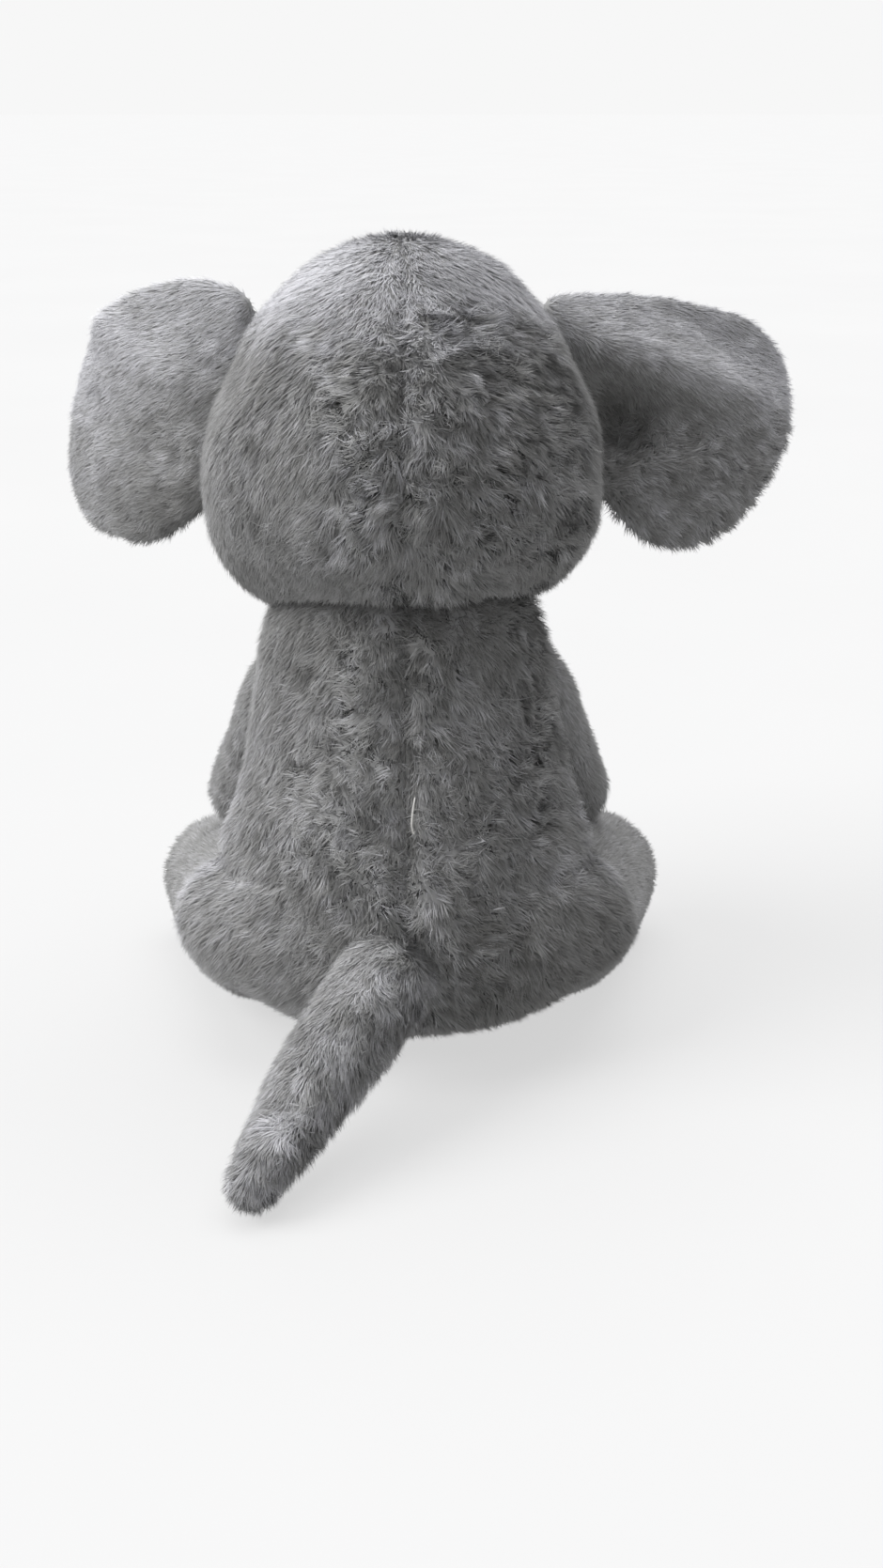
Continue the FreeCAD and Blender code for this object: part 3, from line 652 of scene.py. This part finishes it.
def head_growth(roots, out):
    """Short on the face and round the eyes, bald where the trunk, the neck and the seam hide it."""
    size = 1 - 0.12 * bump(roots[:, 0], 2.2 * MM) * (roots[:, 1] > 0)
    for eye in EYES:
        size *= 0.25 + 0.75 * smoothstep(8 * MM, 16 * MM, np.linalg.norm(roots - eye, axis=1))
    size *= smoothstep(15 * MM, 22 * MM, np.linalg.norm(roots - TRUNK_ROOT, axis=1))
    size *= 1 - 0.3 * smoothstep(-20 * MM, -60 * MM, roots[:, 1])
    in_neck = np.linalg.norm(roots - NECK_CENTRE, axis=1) < 51.5 * MM
    return np.where(in_neck | on_cut(roots, out), 0, size)


def head_ruffle(roots):
    """Sleek over the outer left and the crown, tousled over the middle and right of the back."""
    x, y, z = roots.T
    left = smoothstep(4 * MM, 46 * MM, x)
    crown = smoothstep(254 * MM, 266 * MM, z)
    front = smoothstep(22 * MM, 0, y)
    low = smoothstep(205 * MM, 180 * MM, z)
    right = smoothstep(-40 * MM, -60 * MM, x)
    return np.clip(1.0 - 0.85 * left - 0.7 * crown - 0.8 * front - 0.3 * low - 0.2 * right, 0, 1)


def head_painted_light_and_seam(roots):
    # Painted light and shade: a painted highlight over the crown, and painted shade low on the head and on
    # the shaded right away from the crown. The back seam is a darker line.
    x, y, z = roots.T
    seam = bump(x - 1 * MM, 3 * MM) * (y > 0)
    top = smoothstep(242 * MM, 264 * MM, z) * (0.75 + 0.25 * smoothstep(26 * MM, 6 * MM, y - 0.4 * x))
    low = smoothstep(195 * MM, 170 * MM, z)
    return 0.5 * top - 0.08 * low - 0.13 * smoothstep(0, -45 * MM, x) * (1 - top) - 0.06 * seam


# ---------------------------------------------------------------- ears

# Outline round each ear as (out from the seam, up along it) in mm, with its sweep towards the
# face in degrees and the radius it curves forward on.
EAR_SHAPES = {
    "left": {
        "outline": [(-6, 34), (2, 45), (20, 50), (38, 49), (52, 43), (61, 30), (64, 12), (63, -4),
                    (58, -20), (47, -36), (32, -43), (18, -45), (6, -39), (-4, -28), (-8, 0)],
        "yaw": 20, "bend": 170,
    },
    "right": {
        "outline": [(-8, 38), (3, 45), (26, 46), (50, 45), (72, 40), (84, 27), (85, 8), (79, -9),
                    (67, -24), (52, -38), (38, -46), (24, -49), (11, -44), (2, -32), (-6, -18), (-8, 10)],
        "yaw": 12, "bend": 240,
    },
}
EAR_THICKNESS = 9 * MM
EAR_LEAN = math.radians(12)


def closed_outline(corners, count):
    """A smooth closed curve of count points through the corners, in metres."""
    corners = np.array(corners, float) * MM
    total, overlap, fine = len(corners), 3, 12
    looped = np.concatenate([corners[-overlap:], corners, corners[:overlap]])
    curve = through(looped, (len(looped) - 1) * fine + 1)
    ring = curve[overlap * fine:(overlap + total) * fine]
    return ring[np.linspace(0, len(ring), count, endpoint=False).astype(int)]


def ear_fold(side, u, v):
    """How far the ear's middle surface is folded towards its back, in metres."""
    if side == "left":
        line = (v - 22 * MM) - 0.6 * (u - 30 * MM)
        ridge = 3.5 * MM * bump(line, 6 * MM) * smoothstep(-5 * MM, 15 * MM, u)
        return ridge - 4 * MM * smoothstep(4 * MM, 30 * MM, line) + 2 * MM * bump(v + 22 * MM, 22 * MM)
    # The top of the right ear is folded over along a line that falls outwards.
    line = (v - 26 * MM) + 0.34 * u
    ridge = 8 * MM * bump(line, 8 * MM) * smoothstep(-8 * MM, 14 * MM, u) * smoothstep(88 * MM, 48 * MM, u)
    rolled = -13 * MM * smoothstep(2 * MM, 30 * MM, line) * smoothstep(90 * MM, 55 * MM, u)
    hollow = -16 * MM * bump(u - 11 * MM, 15 * MM) * bump(v - 1 * MM, 15 * MM)
    lobe = 5 * MM * bump(u - 40 * MM, 24 * MM) * bump(v + 26 * MM, 18 * MM)
    return ridge + rolled + hollow + lobe


def make_ear(side):
    """A thin stuffed cushion on the ear's outline, folded, curved forward and swept to its side."""
    sign = 1 if side == "left" else -1
    shape = EAR_SHAPES[side]
    edge = closed_outline(shape["outline"], 96)
    middle = edge.mean(axis=0)
    layers = []
    steps = np.sin(np.linspace(0.06, 1, 26) * math.pi / 2)
    for face, order in ((1, steps), (-1, steps[::-1][1:])):
        for rho in order:
            flat = middle + (edge - middle) * rho
            half = EAR_THICKNESS / 2 * (1 - rho ** 5) ** 0.5
            layers.append(np.column_stack([flat, np.full(len(flat), face * half)]))
    u, v, w = np.concatenate(layers).T
    w = w + ear_fold(side, u, v)
    bend = shape["bend"] * MM
    along = np.sin(u / bend) * (bend + w)
    depth = (bend + w) * np.cos(u / bend) - bend
    yaw = math.radians(shape["yaw"])
    out = along * math.cos(yaw) + depth * math.sin(yaw)
    back = depth * math.cos(yaw) - along * math.sin(yaw)
    # The ear hangs lower the further forward it sweeps.
    up = v + 0.34 * np.minimum(back, 0)
    lean_out = out * math.cos(EAR_LEAN) - up * math.sin(EAR_LEAN)
    lean_up = up * math.cos(EAR_LEAN) + out * math.sin(EAR_LEAN) * 0.2
    points = np.stack([sign * (EAR_HINGE[0] + lean_out), EAR_HINGE[1] + back,
                       EAR_HINGE[2] + lean_up], axis=1)
    faces = grid_faces(len(layers), len(edge))
    if sign > 0:
        faces = [tuple(reversed(face)) for face in faces]
    item = blank("ear_%s_skin" % side, (points, faces), voxel=2.0, smooth=5)
    puff(item, np.abs(coordinates(item)[:, 0]) < 62 * MM, pressure=2.0, most=1.5)
    return item


def ear_lie(roots, out):
    side = np.sign(roots[:, 0])
    return np.stack([side * 0.8, np.full(len(roots), -0.2), np.full(len(roots), -0.55)], axis=1)


def ear_growth(roots, out):
    """The lining that faces forward has a shorter pile than the back."""
    return 1 - 0.45 * smoothstep(0.1, -0.5, out[:, 1])


def ear_ruffle(roots):
    x, y, z = roots.T
    inner = smoothstep(100 * MM, 75 * MM, np.abs(x))
    low = smoothstep(228 * MM, 205 * MM, z)
    return np.clip(0.12 + 0.3 * low * (0.35 + 0.65 * inner) + 0.35 * (x < 0) * low, 0, 1)


def ear_painted_light(roots):
    """Painted highlights along the top and towards the outer edge, and painted shade low on the left ear
    and in the hollow of the right ear.
    """
    x, y, z = roots.T
    out, up = np.abs(x) - EAR_HINGE[0], z - EAR_HINGE[2]
    left = 0.30 * smoothstep(2 * MM, 32 * MM, up + 0.3 * out) + 0.18 * smoothstep(20 * MM, 45 * MM, out) \
        - 0.12 * smoothstep(-15 * MM, -35 * MM, up)
    hollow = bump(out - 6 * MM, 13 * MM) * bump(up, 16 * MM)
    right = 0.34 * smoothstep(-6 * MM, 10 * MM, up - 22 * MM + 0.34 * out) - 0.4 * hollow \
        + 0.12 * smoothstep(50 * MM, 75 * MM, out)
    return np.where(x > 0, left, right)


# ---------------------------------------------------------------- limbs, tail and trunk

def combed(direction):
    """Pile that lies one way all over a piece."""
    def lie(roots, out):
        return np.tile(unit(np.array(direction, float)), (len(roots), 1))
    return lie


def clear_of(start, direction, distance):
    """Growth that leaves the part of a limb buried in the body bald; start and distance in mm."""
    def grow(roots, out):
        reach = (roots - np.array(start) * MM) @ unit(np.array(direction, float))
        return smoothstep(distance * MM, (distance + 6) * MM, reach)
    return grow


# Stations along each left limb as (x, y, z, radius) in mm. The right limbs lie a little wider.
FORELEG = [(41, -9, 139, 7), (46, -14, 124, 11.5), (51, -30, 101, 14), (57.5, -50, 73, 17.2)]
HIND_LEG = [(52, -12, 37, 30.5), (60, -36, 33, 29), (68, -58, 28.5, 26), (74, -74, 26, 23.5)]
LIMB_SPREAD = {"left": 1.0, "right": 1.05}
TAIL = [(8, 64, 47, 15.5), (20, 83, 37.5, 14.5), (34, 104, 25, 12), (47, 127, 12.5, 7.5)]
TRUNK = [(0, -57, 193, 18.5), (0, -68, 186, 22), (0, -90, 166, 19.5), (0, -108, 144, 17.5),
         (0, -118, 124, 15.5), (0, -123, 106, 13.5)]


def sole(name, end, direction, radius, reach):
    """A short-piled disc sewn over the flat end of a foot."""
    profile = ((-3, 0.96), (0, 0.98), (1.5, 0.9), (2.2, 0.7))
    stations = [(*(end + unit(direction) * (reach + lift)), radius * share) for lift, share in profile]
    return blank(name, stuffed_tube(stations, flat_end=0.6), voxel=1.5, smooth=3)


def tail_zones(roots):
    """How far each root lies towards the tail's sleek upper left, and how far along the tail."""
    upper_left = unit(np.array([58.0, -38.0, 20.0]))
    return (roots - TAIL_ROOT) @ upper_left, (roots - TAIL_ROOT) @ unit(TAIL_END - TAIL_ROOT)


def tail_ruffle(roots):
    away, reach = tail_zones(roots)
    sleek = smoothstep(-4 * MM, 9 * MM, away)
    return np.clip(0.6 - 0.55 * sleek + 0.2 * smoothstep(45 * MM, 75 * MM, reach), 0, 1)


def tail_tone(roots):
    away, reach = tail_zones(roots)
    return 0.04 + 0.12 * smoothstep(20 * MM, 60 * MM, reach) - 0.25 * smoothstep(84 * MM, 92 * MM, reach)


# ---------------------------------------------------------------- build everything

SIDES = ("left", "right")
BODY_HAIRS = 46000          # on each half of the torso and of the head
# Hair lengths in mm.
BODY_HAIR_LENGTH = 6.5
LIMB_HAIR_LENGTH = 5.5
EAR_HAIR_LENGTH = TRUNK_HAIR_LENGTH = 5
SOLE_HAIR_LENGTH = 2.5

for item, side, seed, shared in zip(make_torso(), SIDES, (100, 120), ("belly_panel", "seat_panel")):
    pile(item, BODY_HAIRS, BODY_HAIR_LENGTH, torso_lie, seed, ruffle=torso_ruffle, grow=torso_growth,
         tone=torso_painted_light_and_seam)
    finish_piece(item, "torso", PLUSH, ["torso_panel_" + side, shared])

for item, side, seed in zip(make_head(), SIDES, (200, 220)):
    pile(item, BODY_HAIRS, BODY_HAIR_LENGTH, head_lie, seed, ruffle=head_ruffle, grow=head_growth,
         tone=head_painted_light_and_seam)
    finish_piece(item, "head", PLUSH, ["head_panel_" + side])

for side, seed in zip(SIDES, (300, 320)):
    ear = make_ear(side)
    pile(ear, 40000, EAR_HAIR_LENGTH, ear_lie, seed, width=0.45, ruffle=ear_ruffle, grow=ear_growth,
         tone=ear_painted_light)
    finish_piece(ear, "ear_" + side, PLUSH, ["ear_%s_back" % side, "ear_%s_lining" % side])

for side, sign in zip(SIDES, (1, -1)):
    flip = np.array([sign * LIMB_SPREAD[side], 1, 1, 1])
    foreleg, hind_leg = np.array(FORELEG) * flip, np.array(HIND_LEG) * flip
    down = foreleg[-1, :3] - foreleg[1, :3]
    arm = blank("foreleg_%s_skin" % side, stuffed_tube(foreleg, flat_end=10.5), voxel=2.4, smooth=4)
    pile(arm, 18000, LIMB_HAIR_LENGTH, combed(down), 400 + sign, ruffle=0.1)
    finish_piece(arm, "foreleg_" + side, PLUSH,
                 ["foreleg_" + side, "foreleg_%s_stuffing" % side])
    forward = hind_leg[-1, :3] - hind_leg[0, :3]
    leg = blank("hind_leg_%s_skin" % side, stuffed_tube(hind_leg, flat_end=12), voxel=3.0, smooth=6)
    pile(leg, 34000, LIMB_HAIR_LENGTH, combed(forward + (0, 0, -30)), 420 + sign, ruffle=0.12,
         grow=clear_of(hind_leg[0, :3], forward, -26))
    finish_piece(leg, "hind_leg_" + side, PLUSH,
                 ["hind_leg_" + side, "hind_leg_%s_stuffing" % side])
    for name, end, direction, radius, reach in (("foreleg", foreleg[-1, :3], down, 12, 11),
                                                ("hind_leg", hind_leg[-1, :3], forward, 19, 12)):
        pad = sole("%s_%s_pad" % (name, side), end, direction, radius, reach)
        pile(pad, 6000, SOLE_HAIR_LENGTH, combed((0.1 * sign, -0.2, -1)), 440 + sign, width=0.45,
             ruffle=0.2)
        finish_piece(pad, "%s_%s" % (name, side), VELOUR, ["%s_%s_sole" % (name, side)])

tail = blank("tail_skin", stuffed_tube(TAIL), voxel=2.4, smooth=4)
pile(tail, 30000, BODY_HAIR_LENGTH, combed(TAIL_END - TAIL_ROOT + np.array([-10, 0, -12]) * MM), 500,
     ruffle=tail_ruffle, tone=tail_tone)
finish_piece(tail, "tail", PLUSH, ["tail", "tail_stuffing"])

trunk = blank("trunk_skin", stuffed_tube(TRUNK), voxel=2.4, smooth=4)
pile(trunk, 26000, TRUNK_HAIR_LENGTH, combed((0, -0.5, -1)), 520, ruffle=0.12)
finish_piece(trunk, ("trunk_upper", "trunk_lower", tuple(TRUNK_BEND + np.array([0, 10, 12]) * MM),
                     tuple(TRUNK_BEND - np.array([0, 4, 12]) * MM)),
             PLUSH, ["trunk_upper", "trunk_upper_stuffing", "trunk_lower", "trunk_lower_stuffing"])

# Stuffing out of sight inside the skins: piece, centre and half sizes in mm, body, node it replaces.
for name, centre, radii, body, node in (
        ("torso_stuffing_core", (0, 4, 70), (34, 30, 58), "torso", "torso_stuffing"),
        ("head_stuffing_core", (0, -4, 236), (44, 42, 33), "head", "head_stuffing"),
        ("neck_pad", (0, -5, 195.5), (22, 22, 2.4), "neck", "neck_stuffing"),
        ("tail_knot", (6, 66, 46), (11, 11, 11), "tail_root", "tail_root_stuffing")):
    wad = blank(name, ball(np.array(centre) * MM, np.array(radii) * MM), voxel=1.8, smooth=2)
    push(wad, 0.4 * MM * noise(coordinates(wad), 5 * MM, 31)[:, 0])
    finish_piece(wad, body, FIBRE, [node])

# Loose end of the closing thread, standing out of the back's pile.
THREAD_CURL = [(-2.5, 52, 96, 0.3), (-2.4, 58, 98, 0.3), (-1.8, 60.5, 102, 0.28), (-2.2, 60.5, 107, 0.25),
               (-2.9, 59.5, 111, 0.2)]
thread = new_object("closing_thread_end", *stuffed_tube(THREAD_CURL, columns=10))
finish_piece(thread, "torso", THREAD, ["closing_thread"])

for name, material in (("eye_left", EYE), ("eye_right", EYE), ("eye_washer_left", WASHER),
                       ("eye_washer_right", WASHER)):
    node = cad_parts[name]
    node.data.materials.clear()
    node.data.materials.append(material)


# ---------------------------------------------------------------- floor, light and camera

FLOOR_HALF = 40             # metres, so that its edge is lost in the distance
floor = new_object("floor", FLOOR_HALF * np.array([(-1, -1, 0), (1, -1, 0), (1, 1, 0), (-1, 1, 0)], float),
                   [(0, 1, 2, 3)])
paper = grained_material("floor_paper", (0.20, 0.20, 0.20), (0.21, 0.21, 0.21), 3, 0.95, bump_height=0.0)
paper_shader = paper.node_tree.nodes["Principled BSDF"]
paper_shader.inputs["Specular IOR Level"].default_value = 0
# The floor glows, so that shadows on it stay faint. It looks brighter than it shines on the toy.
GLOW_SEEN, GLOW_CAST = 0.61, 0.25
paper_shader.inputs["Emission Color"].default_value = (1, 1, 1, 1)
seen = paper.node_tree.nodes.new("ShaderNodeLightPath")
glow = paper.node_tree.nodes.new("ShaderNodeMapRange")
glow.inputs["To Min"].default_value = GLOW_CAST
glow.inputs["To Max"].default_value = GLOW_SEEN
paper.node_tree.links.new(seen.outputs["Is Camera Ray"], glow.inputs["Value"])
paper.node_tree.links.new(glow.outputs["Result"], paper_shader.inputs["Emission Strength"])
floor.data.materials.append(paper)

# The world lights the scene softly, and shows behind it as bright as the floor.
world = bpy.data.worlds.new("studio")
world.use_nodes = True
world_tree = world.node_tree
world_tree.nodes["Background"].inputs["Color"].default_value = (0.93, 0.93, 0.95, 1)
world_tree.nodes["Background"].inputs["Strength"].default_value = 0.42
backdrop = world_tree.nodes.new("ShaderNodeBackground")
backdrop.inputs["Color"].default_value = (0.93, 0.93, 0.93, 1)
ray = world_tree.nodes.new("ShaderNodeLightPath")
choose = world_tree.nodes.new("ShaderNodeMixShader")
world_tree.links.new(ray.outputs["Is Camera Ray"], choose.inputs[0])
world_tree.links.new(world_tree.nodes["Background"].outputs[0], choose.inputs[1])
world_tree.links.new(backdrop.outputs[0], choose.inputs[2])
world_tree.links.new(choose.outputs[0], world_tree.nodes["World Output"].inputs["Surface"])
bpy.context.scene.world = world

for name, direction, energy, spread in (("window", (-0.72, -0.20, -0.66), 2.7, 40),
                                        ("skylight", (0.05, 0.15, -0.98), 2.1, 60)):
    sun = bpy.data.lights.new(name, "SUN")
    sun.energy = energy
    sun.angle = math.radians(spread)
    lamp = bpy.data.objects.new(name, sun)
    lamp.rotation_euler = Vector(direction).to_track_quat("-Z", "Y").to_euler()
    bpy.context.scene.collection.objects.link(lamp)

# The camera stands behind the elephant, a little above it, aimed just below and beside its middle.
CAMERA_PLACE = Vector((0, 596.2, 321.9)) * MM
CAMERA_AIM = Vector((-12.4, 17.1, 99.5)) * MM
camera_data = bpy.data.cameras.new("camera")
camera_data.sensor_width = 36
camera_data.lens = 41
camera_data.clip_start = 0.05
camera = bpy.data.objects.new("camera", camera_data)
camera.location = CAMERA_PLACE
camera.rotation_euler = (CAMERA_AIM - CAMERA_PLACE).to_track_quat("-Z", "Y").to_euler()
bpy.context.scene.collection.objects.link(camera)
bpy.context.scene.camera = camera
bpy.context.scene.view_settings.view_transform = "Standard"
